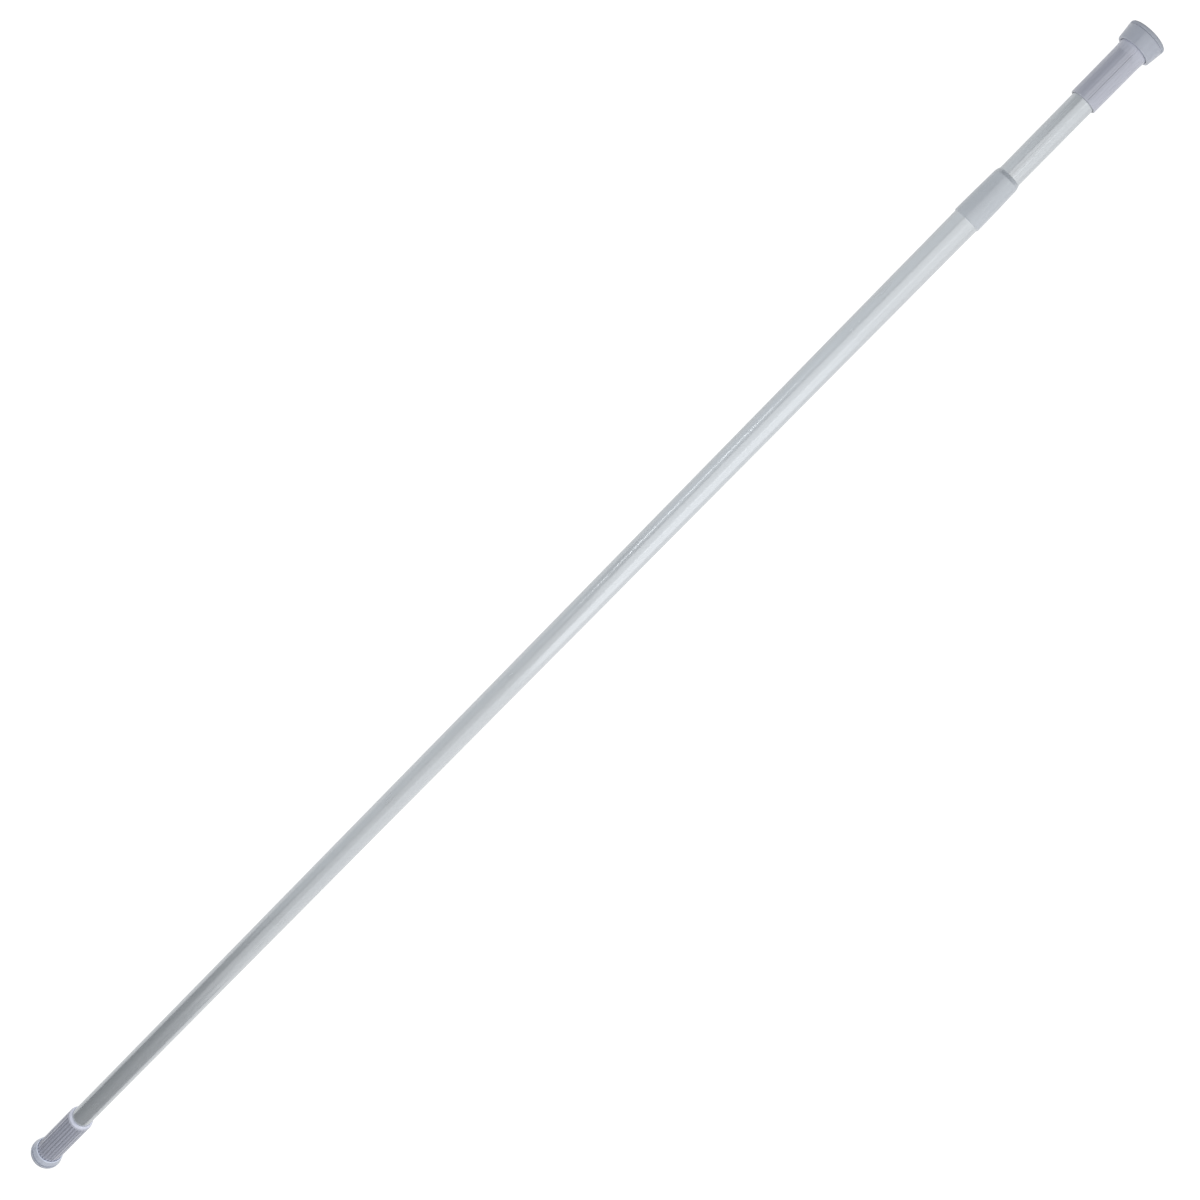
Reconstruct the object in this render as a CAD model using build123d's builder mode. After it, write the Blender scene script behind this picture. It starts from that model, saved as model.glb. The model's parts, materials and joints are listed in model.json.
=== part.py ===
"""Telescopic spring-tension rod that is wedged between two walls to carry a curtain.

Frame: millimetres, +X along the rod from the outer cap to the inner cap, +Z up.
The origin is the centre of the outer wall pad's face, which presses on the wall.
"""

import os

from build123d import *

os.makedirs("parts", exist_ok=True)

# ---------------------------------------------------------------- driving dimensions
outer_tube_radius = 11.0
outer_tube_wall = 0.7
outer_tube_length = 1294.0
inner_tube_radius = 9.5
inner_tube_wall = 0.6
shown_extension = 68.0        # inner tube seen between the joint sleeve and its cap
minimum_overlap = 150.0       # tube left inside tube when the rod is drawn right out

slide_clearance = 0.10        # radial, where one piece guides another
turn_clearance = 0.08         # radial, where one piece turns on another
open_clearance = 0.40         # radial, where pieces of two bodies only pass
end_clearance = 0.20          # axial, beside a piece that turns
stop_clearance = 0.50         # axial, left when a slide reaches its stop

pad_thickness = 2.5
pad_rim_rounding = 0.6
pad_groove_width = 1.2
pad_groove_depth = 0.5
pad_groove_spacing = 3.4
pad_groove_count = 2
peg_radius = 1.5
peg_length = 1.6
peg_count = 3

cup_floor = 2.5
cup_edge = 0.5                # chamfer on a cup's rim and lip
cup_lip_gap = 0.3             # radial, shadow gap between a cup's lip and the grip
snap_depth = 0.6              # radial, how far the grip's collar stands into the cup
screw_well_radius = 5.0       # opening in a cup's floor over the screw head
grip_floor = 3.0
flute_count = 24

cap_stroke = 15.0
cap_bump_gap = 3.0            # left between cap floor and cage with the spring pressed home
cap_overlap = 46.0            # outer tube held inside its cap as the rod hangs loose
outer_cup_depth = 4.3         # cup wall in front of its floor
outer_cup_lip_wall = 0.9
outer_cup_flare = 2.25
outer_grip_wall = 2.35
outer_flute_depth = 0.55
outer_flute_radius = 1.7
outer_lip_length = 3.5
guide_land_length = 10.0      # bore land at the outer cap's mouth

inner_cup_depth = 8.0
inner_cup_lip_wall = 2.15
inner_cup_flare = 1.4
inner_grip_wall = 1.65
inner_grip_flare = 0.4        # radial growth of the grip before its cup
inner_grip_flare_length = 6.0
inner_flute_depth = 0.35
inner_flute_radius = 1.4
inner_cap_grip = 49.5         # inner tube held inside its cap
inner_lip_length = 1.6
inner_mouth_gap = 0.35        # radial, relief round the tube at the inner cap's mouth

sleeve_grip = 17.0            # sleeve length pressed over the outer tube
sleeve_nose = 24.0            # sleeve length in front of the outer tube's end
sleeve_wall = 0.8
sleeve_nose_wall = 1.35       # radial, over the inner tube at the start of the chamfer
sleeve_chamfer = 2.7
sleeve_edge = 0.3

spring_wire_radius = 0.9
spring_turns = 11
spring_space = 70.0           # length of the spring as the rod hangs loose
cage_wall = 1.2
cage_floor = 2.5
cage_flange = 2.0
bush_length = 12.0
plunger_radius = 3.5
plunger_head = 3.0
plunger_collar = 3.0
washer_thickness = 0.8
rivet_radius = 1.6

lock_offset = 0.5             # eccentricity of the spigot and of the cam's bore
cam_gap = 0.6                 # radial gap between the cam and the outer tube
cam_length = 12.0
cam_slit = 1.2
slit_margin = 1.0             # how far a slit's cutter stands past the wall it cuts
spigot_radius = 4.5
journal_radius = 7.5
guide_ring_length = 12.0
plug_flange = 2.0
plug_collar = 3.0
plug_insertion = 30.0
plug_rivet_setback = 14.0
lock_washer_thickness = 1.2
lock_washer_rim = 1.8         # radial, washer standing past the spigot
closed_gap = 10.0             # left before the cage when the rod is pushed shut

screw_radius = 2.0
screw_head_radius = 3.7
screw_head_height = 2.2
screw_head_edge = 0.5
screw_length = 14.0
screw_slot_width = 1.0
screw_slot_depth = 1.1
end_plug_length = 22.0

# ------------------------------------------------------------- worked-out dimensions
outer_bore = outer_tube_radius - outer_tube_wall
inner_bore = inner_tube_radius - inner_tube_wall

outer_cup_floor_x = pad_thickness + cup_floor
cap_inside_x = outer_cup_floor_x + grip_floor
cage_flange_x = cap_inside_x + cap_stroke + cap_bump_gap
outer_tube_start_x = cage_flange_x + cage_flange
outer_tube_end_x = outer_tube_start_x + outer_tube_length
bush_end_x = outer_tube_start_x + bush_length
head_x = bush_end_x + slide_clearance
spring_start_x = head_x + plunger_head + washer_thickness
spring_end_x = spring_start_x + spring_space
cage_end_x = spring_end_x + cage_floor

outer_cap_bore = outer_tube_radius + slide_clearance + open_clearance
outer_grip_radius = outer_cap_bore + outer_grip_wall
outer_cap_mouth_x = outer_tube_start_x + cap_overlap
outer_collar_radius = outer_grip_radius + cup_lip_gap + snap_depth
outer_cup_lip_radius = outer_grip_radius + cup_lip_gap + outer_cup_lip_wall
outer_foot_radius = outer_cup_lip_radius + outer_cup_flare

sleeve_start_x = outer_tube_end_x - sleeve_grip
sleeve_end_x = outer_tube_end_x + sleeve_nose
inner_cap_mouth_x = sleeve_end_x + shown_extension
inner_tube_end_x = inner_cap_mouth_x + inner_cap_grip
inner_cup_floor_x = inner_tube_end_x + grip_floor
inner_pad_x = inner_cup_floor_x + cup_floor
rod_end_x = inner_pad_x + pad_thickness
inner_grip_radius = inner_tube_radius + inner_grip_wall
inner_grip_end_radius = inner_grip_radius + inner_grip_flare
inner_collar_radius = inner_grip_end_radius + cup_lip_gap + snap_depth
inner_cup_lip_radius = inner_grip_end_radius + cup_lip_gap + inner_cup_lip_wall
inner_foot_radius = inner_cup_lip_radius + inner_cup_flare

ring_space = guide_ring_length + 2 * end_clearance
cam_space = cam_length + 2 * end_clearance
lock_reach = (
    plug_collar + ring_space + plug_flange + cam_space
    + lock_washer_thickness + screw_head_height
)
inner_tube_start_x = cage_end_x + closed_gap + lock_reach + shown_extension
inner_tube_length = inner_tube_end_x - inner_tube_start_x
journal_x = inner_tube_start_x - plug_collar - ring_space
flange_x = journal_x - plug_flange
spigot_x = flange_x - cam_space
lock_washer_x = spigot_x - lock_washer_thickness
cam_radius = outer_bore - cam_gap

# Inside the outer tube, the cage holds the spring and guides what pushes it.
cage_bore = outer_bore - cage_wall
plunger_head_radius = cage_bore - open_clearance
spring_radius = plunger_head_radius - spring_wire_radius
collar_radius = spring_radius - spring_wire_radius - open_clearance
cage_rivet_x = outer_tube_start_x + bush_length / 2
cage_rivet_tail = (plunger_radius + cage_bore) / 2
plug_rivet_x = inner_tube_start_x + plug_rivet_setback
plug_rivet_tail = inner_bore / 2

print("rod length", round(rod_end_x, 2), "inner tube length", round(inner_tube_length, 2))
print("closes by", shown_extension - stop_clearance)
print("draws out by", round(outer_tube_end_x - inner_tube_start_x - minimum_overlap, 2))
print("spring between", round(spring_start_x, 2), "and", round(spring_end_x, 2))
print("inner tube starts at", round(inner_tube_start_x, 2), "spigot at", round(spigot_x, 2))
print("guide ring at", round(journal_x, 2), "cam at", round(spigot_x + end_clearance, 2))


# ------------------------------------------------------------------- shape helpers
def outline(*points, height=0.0):
    """Closed outline of (x, radius) points, to be turned about an axis along X at this height."""
    with BuildSketch(Plane.XY.offset(height)) as shape:
        with BuildLine():
            Polyline(*points, close=True)
        make_face()
    return shape.sketch


def ring(x_start, x_end, inside, outside):
    """Outline of a plain ring between two places on the axis."""
    return outline((x_start, inside), (x_end, inside), (x_end, outside), (x_start, outside))


def spaced_circles(x, pitch_radius, count, radius):
    """Circles of one size spaced evenly about the rod's axis, facing +X."""
    with BuildSketch(Plane.YZ.offset(x)) as shape:
        with PolarLocations(pitch_radius, count):
            Circle(radius)
    return shape.sketch


def flutes(x_start, x_end, crest_radius, depth, flute_radius):
    """Straight round-bottomed grooves that leave a grip ribbed."""
    circles = spaced_circles(x_start, crest_radius - depth + flute_radius, flute_count, flute_radius)
    extrude(circles, amount=x_end - x_start, mode=Mode.SUBTRACT)


def wall_pad(face_x, inward, radius):
    """Soft disc whose grooved face presses on the wall, with pegs that locate it in its cup."""
    back_x = face_x + inward * pad_thickness
    corner = pad_rim_rounding
    revolve(
        outline(
            (face_x, 0),
            (face_x, radius - corner),
            (face_x + inward * corner, radius),
            (back_x, radius),
            (back_x, 0),
        ),
        axis=Axis.X,
    )
    for number in range(1, pad_groove_count + 1):
        outside = radius - number * pad_groove_spacing
        groove = ring(face_x, face_x + inward * pad_groove_depth, outside - pad_groove_width, outside)
        revolve(groove, axis=Axis.X, mode=Mode.SUBTRACT)
    pegs = spaced_circles(back_x, peg_pitch(radius), peg_count, peg_radius)
    extrude(pegs, amount=inward * peg_length)


def peg_pitch(foot_radius):
    """Pitch radius of the pegs, midway between the screw well and the rim of the foot."""
    return (screw_well_radius + foot_radius) / 2


def foot_cup(rim_x, inward, depth, radii):
    """Flared cup: a floor with a screw well and peg holes, and a wall with a snap recess."""
    foot_radius, lip_radius, collar_radius, mouth_radius = radii
    floor_x = rim_x + inward * cup_floor
    lip_x = floor_x + inward * depth
    recess_x = floor_x + inward * (depth / 2)
    revolve(
        outline(
            (rim_x, screw_well_radius),
            (rim_x, foot_radius - cup_edge),
            (rim_x + inward * cup_edge, foot_radius),
            (lip_x - inward * cup_edge, lip_radius),
            (lip_x, lip_radius - cup_edge),
            (lip_x, mouth_radius),
            (recess_x, mouth_radius),
            (recess_x, collar_radius),
            (floor_x, collar_radius),
            (floor_x, screw_well_radius),
        ),
        axis=Axis.X,
    )
    holes = spaced_circles(rim_x, peg_pitch(foot_radius), peg_count, peg_radius)
    extrude(holes, amount=inward * cup_floor, mode=Mode.SUBTRACT)


def pan_screw(seat_x, inward, height=0.0):
    """Slotted pan-head screw whose head bears on seat_x and whose shank runs inward."""
    top_x = seat_x - inward * screw_head_height
    profile = outline(
        (top_x, 0),
        (top_x, screw_head_radius - 2 * screw_head_edge),
        (top_x + inward * screw_head_edge, screw_head_radius),
        (seat_x, screw_head_radius),
        (seat_x, screw_radius),
        (seat_x + inward * screw_length, screw_radius),
        (seat_x + inward * screw_length, 0),
        height=height,
    )
    revolve(profile, axis=Axis((0, 0, height), (1, 0, 0)))
    with BuildSketch(Plane.YZ.offset(top_x)) as slot:
        with Locations((0, height)):
            Rectangle(2 * screw_head_radius, screw_slot_width)
    extrude(slot.sketch, amount=inward * screw_slot_depth, mode=Mode.SUBTRACT)


def cross_studs(x, tail, reach, mode=Mode.ADD):
    """Two round studs, or holes, facing each other across the rod from tail out to reach."""
    for side in (1, -1):
        with BuildSketch(Plane.XY.offset(side * tail)) as spot:
            with Locations((x, 0)):
                Circle(rivet_radius)
        extrude(spot.sketch, amount=side * (reach - tail), mode=mode)


# --------------------------------------------------------------- outer cap, fixed to the wall
with BuildPart() as outer_wall_pad:
    wall_pad(0, 1, outer_foot_radius)
outer_wall_pad.part.label = "outer_wall_pad"
export_step(outer_wall_pad.part, "parts/outer_wall_pad.step")

with BuildPart() as outer_foot_cup:
    foot_cup(
        pad_thickness,
        1,
        outer_cup_depth,
        (
            outer_foot_radius,
            outer_cup_lip_radius,
            outer_collar_radius,
            outer_grip_radius + cup_lip_gap,
        ),
    )
outer_foot_cup.part.label = "outer_foot_cup"
export_step(outer_foot_cup.part, "parts/outer_foot_cup.step")

with BuildPart() as outer_grip_cap:
    lip_x = outer_cap_mouth_x - outer_lip_length
    land_x = outer_cap_mouth_x - guide_land_length
    land_radius = outer_tube_radius + slide_clearance
    collar_x = outer_cup_floor_x + outer_cup_depth / 2
    revolve(
        outline(
            (outer_cup_floor_x, screw_radius),
            (outer_cup_floor_x, outer_collar_radius),
            (collar_x, outer_collar_radius),
            (collar_x, outer_grip_radius),
            (lip_x, outer_grip_radius),
            (outer_cap_mouth_x, land_radius + open_clearance),
            (outer_cap_mouth_x, land_radius),
            (land_x, land_radius),
            (land_x, outer_cap_bore),
            (cap_inside_x, outer_cap_bore),
            (cap_inside_x, screw_radius),
        ),
        axis=Axis.X,
    )
    flutes(collar_x, lip_x, outer_grip_radius, outer_flute_depth, outer_flute_radius)
outer_grip_cap.part.label = "outer_grip_cap"
export_step(outer_grip_cap.part, "parts/outer_grip_cap.step")

with BuildPart() as plunger:
    collar_end_x = head_x + plunger_head + plunger_collar
    screw_end_x = outer_cup_floor_x + screw_length
    revolve(
        outline(
            (cap_inside_x, screw_radius),
            (cap_inside_x, plunger_radius),
            (head_x, plunger_radius),
            (head_x, plunger_head_radius),
            (head_x + plunger_head, plunger_head_radius),
            (head_x + plunger_head, collar_radius),
            (collar_end_x, collar_radius),
            (collar_end_x, 0),
            (screw_end_x, 0),
            (screw_end_x, screw_radius),
        ),
        axis=Axis.X,
    )
plunger.part.label = "plunger"
export_step(plunger.part, "parts/plunger.step")

with BuildPart() as plunger_screw:
    pan_screw(outer_cup_floor_x, 1)
plunger_screw.part.label = "plunger_screw"
export_step(plunger_screw.part, "parts/plunger_screw.step")

with BuildPart() as spring_washer:
    washer_x = head_x + plunger_head
    revolve(ring(washer_x, spring_start_x, collar_radius, plunger_head_radius), axis=Axis.X)
spring_washer.part.label = "spring_washer"
export_step(spring_washer.part, "parts/spring_washer.step")

# ------------------------------------------------------------------ outer tube and its fittings
with BuildPart() as outer_tube:
    revolve(ring(outer_tube_start_x, outer_tube_end_x, outer_bore, outer_tube_radius), axis=Axis.X)
    cross_studs(cage_rivet_x, 0, outer_tube_radius, mode=Mode.SUBTRACT)
outer_tube.part.label = "outer_tube"
export_step(outer_tube.part, "parts/outer_tube.step")

with BuildPart() as spring_cage:
    flange_radius = outer_cap_bore - slide_clearance
    revolve(
        outline(
            (cage_flange_x, cage_bore),
            (cage_flange_x, flange_radius),
            (outer_tube_start_x, flange_radius),
            (outer_tube_start_x, outer_bore),
            (cage_end_x, outer_bore),
            (cage_end_x, 0),
            (spring_end_x, 0),
            (spring_end_x, cage_bore),
        ),
        axis=Axis.X,
    )
    cross_studs(cage_rivet_x, 0, outer_tube_radius, mode=Mode.SUBTRACT)
spring_cage.part.label = "spring_cage"
export_step(spring_cage.part, "parts/spring_cage.step")

with BuildPart() as cage_bush:
    bore = plunger_radius + slide_clearance
    revolve(ring(cage_flange_x, bush_end_x, bore, cage_bore), axis=Axis.X)
    cross_studs(cage_rivet_x, cage_rivet_tail, outer_tube_radius, mode=Mode.SUBTRACT)
cage_bush.part.label = "cage_bush"
export_step(cage_bush.part, "parts/cage_bush.step")

with BuildPart() as cage_rivets:
    cross_studs(cage_rivet_x, cage_rivet_tail, outer_tube_radius)
cage_rivets.part.label = "cage_rivets"
export_step(cage_rivets.part, "parts/cage_rivets.step")

with BuildPart() as cap_spring:
    wire_start_x = spring_start_x + spring_wire_radius
    coil_height = spring_space - 2 * spring_wire_radius
    with BuildLine():
        coil = Helix(
            pitch=coil_height / spring_turns,
            height=coil_height,
            radius=spring_radius,
            center=(wire_start_x, 0, 0),
            direction=(1, 0, 0),
        )
    with BuildSketch(Plane(origin=coil @ 0, z_dir=coil % 0)):
        Circle(spring_wire_radius)
    sweep(is_frenet=True)
cap_spring.part.label = "cap_spring"
export_step(cap_spring.part, "parts/cap_spring.step")

with BuildPart() as joint_sleeve:
    sleeve_radius = outer_tube_radius + sleeve_wall
    nose_radius = inner_tube_radius + sleeve_nose_wall
    mouth_radius = inner_tube_radius + slide_clearance
    revolve(
        outline(
            (sleeve_start_x, outer_tube_radius),
            (sleeve_start_x, sleeve_radius - sleeve_edge),
            (sleeve_start_x + sleeve_edge, sleeve_radius),
            (outer_tube_end_x, sleeve_radius - sleeve_edge),
            (sleeve_end_x - sleeve_chamfer, nose_radius),
            (sleeve_end_x, mouth_radius + sleeve_edge),
            (sleeve_end_x, mouth_radius),
            (outer_tube_end_x, mouth_radius),
            (outer_tube_end_x, outer_tube_radius),
        ),
        axis=Axis.X,
    )
joint_sleeve.part.label = "joint_sleeve"
export_step(joint_sleeve.part, "parts/joint_sleeve.step")

# --------------------------------------------------- guide ring that slides in the outer tube
with BuildPart() as rear_guide_ring:
    ring_x = journal_x + end_clearance
    inside = journal_radius + turn_clearance
    outside = outer_bore - slide_clearance
    revolve(ring(ring_x, ring_x + guide_ring_length, inside, outside), axis=Axis.X)
    with BuildSketch(Plane.YZ.offset(ring_x)):
        with Locations((0, outside)):
            Rectangle(cam_slit, 2 * (outside - inside + slit_margin))
    extrude(amount=guide_ring_length, mode=Mode.SUBTRACT)
rear_guide_ring.part.label = "rear_guide_ring"
export_step(rear_guide_ring.part, "parts/rear_guide_ring.step")

# ------------------------------------------------------------------ inner tube and its fittings
with BuildPart() as inner_tube:
    revolve(ring(inner_tube_start_x, inner_tube_end_x, inner_bore, inner_tube_radius), axis=Axis.X)
    cross_studs(plug_rivet_x, 0, inner_tube_radius, mode=Mode.SUBTRACT)
inner_tube.part.label = "inner_tube"
export_step(inner_tube.part, "parts/inner_tube.step")

with BuildPart() as lock_plug:
    plug_end_x = inner_tube_start_x + plug_insertion
    collar_x = inner_tube_start_x - plug_collar
    flange_radius = (journal_radius + outer_bore) / 2
    revolve(
        outline(
            (flange_x, 0),
            (flange_x, flange_radius),
            (journal_x, flange_radius),
            (journal_x, journal_radius),
            (collar_x, journal_radius),
            (collar_x, inner_tube_radius),
            (inner_tube_start_x, inner_tube_radius),
            (inner_tube_start_x, inner_bore),
            (plug_end_x, inner_bore),
            (plug_end_x, 0),
        ),
        axis=Axis.X,
    )
    with BuildSketch(Plane.YZ.offset(spigot_x)):
        with Locations((0, lock_offset)):
            Circle(spigot_radius)
    extrude(amount=cam_space)
    with BuildSketch(Plane.YZ.offset(spigot_x)):
        with Locations((0, lock_offset)):
            Circle(screw_radius)
    extrude(amount=screw_length - lock_washer_thickness, mode=Mode.SUBTRACT)
    cross_studs(plug_rivet_x, plug_rivet_tail, inner_tube_radius, mode=Mode.SUBTRACT)
lock_plug.part.label = "lock_plug"
export_step(lock_plug.part, "parts/lock_plug.step")

with BuildPart() as plug_rivets:
    cross_studs(plug_rivet_x, plug_rivet_tail, inner_tube_radius)
plug_rivets.part.label = "plug_rivets"
export_step(plug_rivets.part, "parts/plug_rivets.step")

with BuildPart() as lock_washer:
    with BuildSketch(Plane.YZ.offset(lock_washer_x)):
        with Locations((0, lock_offset)):
            Circle(spigot_radius + lock_washer_rim)
            Circle(screw_radius, mode=Mode.SUBTRACT)
    extrude(amount=lock_washer_thickness)
lock_washer.part.label = "lock_washer"
export_step(lock_washer.part, "parts/lock_washer.step")

with BuildPart() as lock_screw:
    pan_screw(lock_washer_x, 1, height=lock_offset)
lock_screw.part.label = "lock_screw"
export_step(lock_screw.part, "parts/lock_screw.step")

with BuildPart() as inner_tube_plug:
    plug_x = inner_tube_end_x - end_plug_length
    revolve(ring(plug_x, inner_tube_end_x, screw_radius, inner_bore), axis=Axis.X)
inner_tube_plug.part.label = "inner_tube_plug"
export_step(inner_tube_plug.part, "parts/inner_tube_plug.step")

with BuildPart() as inner_grip_cap:
    flare_x = inner_cup_floor_x - inner_cup_depth - inner_grip_flare_length
    collar_x = inner_cup_floor_x - inner_cup_depth / 2
    lip_x = inner_cap_mouth_x + inner_lip_length
    revolve(
        outline(
            (inner_cap_mouth_x, inner_tube_radius + inner_mouth_gap),
            (inner_cap_mouth_x, inner_grip_radius - inner_mouth_gap),
            (inner_cap_mouth_x + inner_mouth_gap, inner_grip_radius),
            (flare_x, inner_grip_radius),
            (inner_cup_floor_x - inner_cup_depth, inner_grip_end_radius),
            (collar_x, inner_grip_end_radius),
            (collar_x, inner_collar_radius),
            (inner_cup_floor_x, inner_collar_radius),
            (inner_cup_floor_x, screw_radius),
            (inner_tube_end_x, screw_radius),
            (inner_tube_end_x, inner_tube_radius),
            (lip_x, inner_tube_radius),
            (lip_x, inner_tube_radius + inner_mouth_gap),
        ),
        axis=Axis.X,
    )
    flutes(lip_x, flare_x, inner_grip_radius, inner_flute_depth, inner_flute_radius)
inner_grip_cap.part.label = "inner_grip_cap"
export_step(inner_grip_cap.part, "parts/inner_grip_cap.step")

with BuildPart() as inner_foot_cup:
    foot_cup(
        inner_pad_x,
        -1,
        inner_cup_depth,
        (
            inner_foot_radius,
            inner_cup_lip_radius,
            inner_collar_radius,
            inner_grip_end_radius + cup_lip_gap,
        ),
    )
inner_foot_cup.part.label = "inner_foot_cup"
export_step(inner_foot_cup.part, "parts/inner_foot_cup.step")

with BuildPart() as inner_cap_screw:
    pan_screw(inner_cup_floor_x, -1)
inner_cap_screw.part.label = "inner_cap_screw"
export_step(inner_cap_screw.part, "parts/inner_cap_screw.step")

with BuildPart() as inner_wall_pad:
    wall_pad(rod_end_x, -1, inner_foot_radius)
inner_wall_pad.part.label = "inner_wall_pad"
export_step(inner_wall_pad.part, "parts/inner_wall_pad.step")

# ------------------------------------------------------------------ cam that turns on its spigot
with BuildPart() as lock_cam:
    cam_x = spigot_x + end_clearance
    with BuildSketch(Plane.YZ.offset(cam_x)):
        Circle(cam_radius)
        with Locations((0, lock_offset)):
            Circle(spigot_radius + turn_clearance, mode=Mode.SUBTRACT)
        with Locations((0, -cam_radius)):
            wall = cam_radius - spigot_radius + lock_offset
            Rectangle(cam_slit, 2 * (wall + slit_margin), mode=Mode.SUBTRACT)
    extrude(amount=cam_length)
lock_cam.part.label = "lock_cam"
export_step(lock_cam.part, "parts/lock_cam.step")
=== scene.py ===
# %% [markdown]
# # A telescopic tension rod
# The rod is wedged between two walls and carries a curtain. Two enamelled steel tubes slide in
# each other, a plastic sleeve closes the step between them, and a fluted cap with a flared foot
# sits on each end. Almost every visible piece is turned about one axis, so this lesson is about
# lathe surfaces: one outline, rounded at its corners, carried round the X axis. The caps add a
# second idea, which is that the radius may also depend on the angle, and that is all a flute is.

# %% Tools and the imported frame
import json
import math

import bpy
import numpy as np
from mathutils import Matrix, Vector


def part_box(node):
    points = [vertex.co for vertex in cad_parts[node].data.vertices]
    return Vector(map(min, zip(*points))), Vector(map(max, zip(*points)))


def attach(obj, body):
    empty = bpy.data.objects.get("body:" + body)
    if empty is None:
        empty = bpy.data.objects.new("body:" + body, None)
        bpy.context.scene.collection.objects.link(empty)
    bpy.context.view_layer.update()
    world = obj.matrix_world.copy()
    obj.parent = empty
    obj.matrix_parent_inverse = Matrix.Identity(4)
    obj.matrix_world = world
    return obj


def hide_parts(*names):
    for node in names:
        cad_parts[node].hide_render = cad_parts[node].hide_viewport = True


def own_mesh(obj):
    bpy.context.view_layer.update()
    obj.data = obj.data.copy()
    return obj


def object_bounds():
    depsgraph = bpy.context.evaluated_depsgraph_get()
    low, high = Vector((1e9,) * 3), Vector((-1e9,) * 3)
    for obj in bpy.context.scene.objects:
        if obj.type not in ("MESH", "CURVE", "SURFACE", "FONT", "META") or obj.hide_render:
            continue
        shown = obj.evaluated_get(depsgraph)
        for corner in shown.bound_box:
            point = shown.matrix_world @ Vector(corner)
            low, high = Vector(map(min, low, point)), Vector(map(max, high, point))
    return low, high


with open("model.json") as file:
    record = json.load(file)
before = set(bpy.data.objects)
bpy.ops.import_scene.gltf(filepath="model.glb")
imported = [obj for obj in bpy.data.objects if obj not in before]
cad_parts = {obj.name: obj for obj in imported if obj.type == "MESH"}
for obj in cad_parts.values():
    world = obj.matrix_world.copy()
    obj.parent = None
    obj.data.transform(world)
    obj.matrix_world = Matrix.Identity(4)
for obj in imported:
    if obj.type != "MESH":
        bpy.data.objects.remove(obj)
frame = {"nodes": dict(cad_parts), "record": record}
cad_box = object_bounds()
MM = 0.001
print("nodes", len(frame["nodes"]))

# %% [markdown]
# ## Sizes
# The frame already fixes every length and radius. A turned piece is described well enough by
# where its box starts and ends along X and by its largest radius, so one helper reads those
# three numbers and all the outlines below are written from them.


# %% Read a turned node's span and radius
def span(node):
    """Start, end and largest radius of a node turned about the X axis, in metres."""
    low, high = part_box(node)
    return low.x, high.x, max(high.y, high.z)


_, outer_tube_end, outer_tube_radius = span("outer_tube")
_, _, inner_tube_radius = span("inner_tube")
sleeve_start, sleeve_end, sleeve_radius = span("joint_sleeve")
outer_cap_start, outer_cap_mouth, _ = span("outer_grip_cap")
inner_cap_mouth, inner_cap_end, _ = span("inner_grip_cap")
outer_cup_start, outer_cup_lip, outer_foot_radius = span("outer_foot_cup")
inner_cup_lip, inner_cup_end, inner_foot_radius = span("inner_foot_cup")
outer_pad_face, _, outer_pad_radius = span("outer_wall_pad")
_, inner_pad_face, inner_pad_radius = span("inner_wall_pad")
rod_length = inner_pad_face - outer_pad_face
across_mm = [round(2 * radius / MM, 2) for radius in (outer_tube_radius, inner_tube_radius)]
print("rod is", round(rod_length, 4), "m long, tubes are", across_mm, "mm across")

# %% [markdown]
# ## The lathe
# A lathe surface needs an outline in the plane of (x, radius). Real moulded and cut edges are
# never sharp, so each corner of an outline carries its own rounding radius and is replaced by a
# short arc. A bevel modifier could do this too, but it would also round the flutes, and an arc
# in the outline costs only a few more rings. The rounding is worked out from the corner's two
# directions: the arc touches both sides at the same distance from the corner.


# %% Round the corners of an outline
def rounded(corners, closed=True, steps=5):
    """Points of an outline whose corners (x, radius, rounding) are replaced by arcs.

    Each arc touches both sides at rounding / tan(half the angle between them) from the corner. Its
    points are the centre plus rounding times a direction turned evenly from one side to the other.
    """
    side_share = 0.48  # an arc takes just under half of a side, so two arcs never meet
    places = np.array([corner[:2] for corner in corners], float)
    points = []
    for i, (place, corner) in enumerate(zip(places, corners)):
        rounding = corner[2] if len(corner) > 2 else 0.0
        end = not closed and i in (0, len(corners) - 1)
        if end or rounding == 0.0:
            points.append(place[None])
            continue
        before = places[i - 1] - place
        after = places[(i + 1) % len(places)] - place
        reach = min(np.linalg.norm(before), np.linalg.norm(after))
        before, after = before / np.linalg.norm(before), after / np.linalg.norm(after)
        half = 0.5 * math.acos(np.clip(before @ after, -1.0, 1.0))
        rounding = min(rounding, side_share * reach * math.tan(half))
        middle = (before + after) / np.linalg.norm(before + after)
        centre = place + middle * rounding / math.sin(half)
        first = place + before * rounding / math.tan(half) - centre
        last = place + after * rounding / math.tan(half) - centre
        turn = math.atan2(first[0] * last[1] - first[1] * last[0], first @ last)
        angle = np.linspace(0.0, turn, steps + 1)
        arc_x = first[0] * np.cos(angle) - first[1] * np.sin(angle)
        arc_r = first[0] * np.sin(angle) + first[1] * np.cos(angle)
        points.append(centre + np.stack((arc_x, arc_r), axis=1))
    return np.concatenate(points)


# %% [markdown]
# Long straight stretches of an outline need a few rings of their own. Without them a
# smooth-shaded face that is ten times longer than the arc beside it bends the light far into the
# flat, because a vertex normal is an average of its neighbours. A short ring close to each arc
# keeps the flat flat.


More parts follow.
